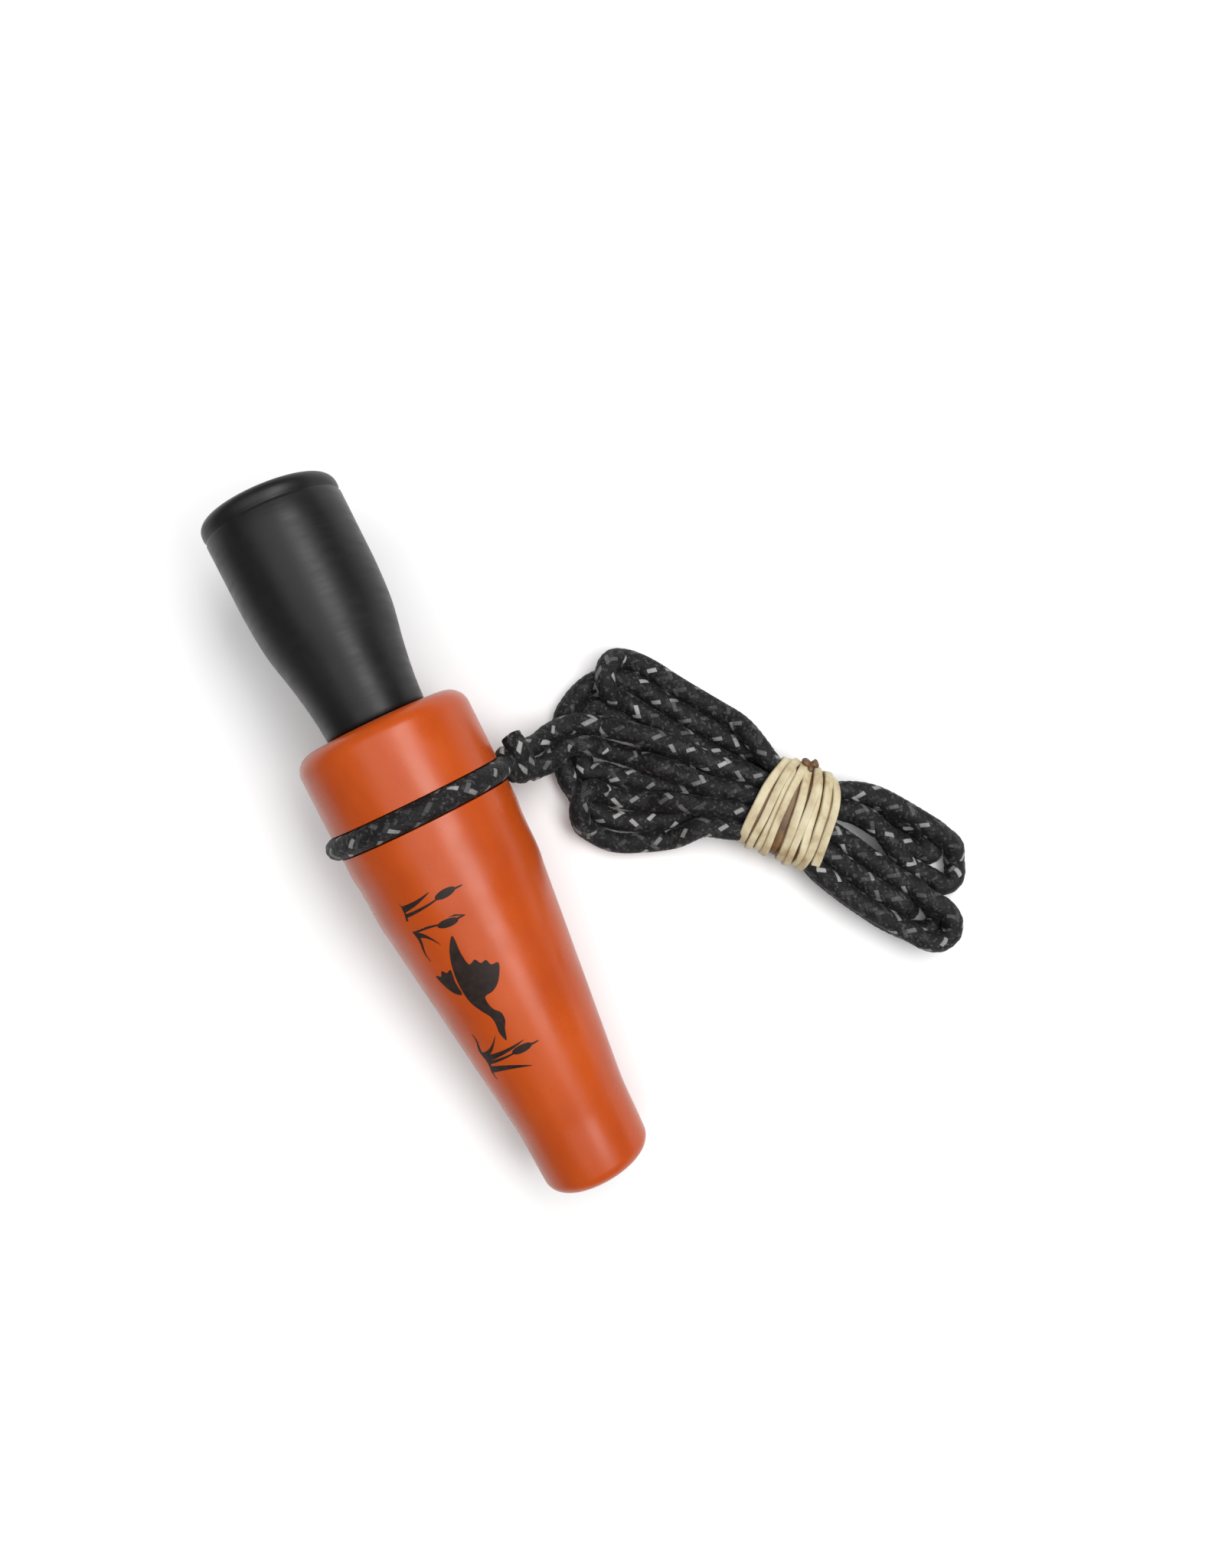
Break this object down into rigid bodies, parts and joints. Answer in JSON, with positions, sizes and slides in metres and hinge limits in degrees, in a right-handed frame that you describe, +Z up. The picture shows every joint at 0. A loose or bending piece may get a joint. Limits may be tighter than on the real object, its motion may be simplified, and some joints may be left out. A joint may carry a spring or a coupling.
{
  "type": "duck call",
  "caption": "Two-piece duck call: tapered barrel with a collar and lanyard groove, flared push-in insert with tone board and reeds, and a braided lanyard in a banded hank.",
  "frame": {"origin": "on the table under the middle of the call's box, measured without the lanyard's knot, leads, hank and band", "axes": "+Z up from the table; +X along the call, seen from above, from the exhaust end of the insert to the mouth end of the barrel; the hank lies on the +Y side"},
  "size_m": [0.1334, 0.103, 0.035],
  "materials": {
    "barrel": "moulded blaze-orange plastic, glossy with faint flow marks",
    "insert": "black plastic, satin, with fine turning marks",
    "tone_board": "black moulded plastic",
    "reed": "frosted polyester film",
    "wedge": "cork",
    "o_ring": "black rubber",
    "cord": "black braided cord with grey and white flecks",
    "band": "tan rubber band, wound several times"
  },
  "bodies": {
    "barrel_body": {"barrel": "barrel", "lanyard_loop": "cord", "lanyard_knot": "cord", "lanyard_lead_a": "cord", "lanyard_lead_b": "cord", "lanyard_hank": "cord", "hank_band": "band"},
    "insert_carriage": {"o_ring_rear": "o_ring", "o_ring_front": "o_ring"},
    "insert_body": {"insert": "insert", "tone_board": "tone_board", "wedge_block": "wedge"},
    "reed_long_body": {"reed_long": "reed"},
    "reed_short_body": {"reed_short": "reed"}
  },
  "joints": [
    {"name": "insert_pull", "type": "slide", "parent": "barrel_body", "child": "insert_carriage", "axis": [-0.9952, 0, 0.0981], "range_m": [0, 0.066]},
    {"name": "insert_twist", "type": "hinge", "parent": "insert_carriage", "child": "insert_body", "pos_m": [-0.00698, 0, 0.01712], "axis": [0.9952, 0, -0.0981], "continuous": true},
    {"name": "reed_long_flex", "type": "hinge", "parent": "insert_body", "child": "reed_long_body", "pos_m": [0.00914, 0, 0.01754], "axis": [0, 1, 0], "range_deg": [-1.4, 1.4], "stiffness_Nm_per_rad": 0.01},
    {"name": "reed_short_flex", "type": "hinge", "parent": "insert_body", "child": "reed_short_body", "pos_m": [0.00914, 0, 0.01754], "axis": [0, 1, 0], "range_deg": [-1.4, 1.4], "stiffness_Nm_per_rad": 0.01}
  ],
  "couplings": [
    {"joint": "reed_short_flex", "follows": "reed_long_flex", "ratio": 1}
  ]
}
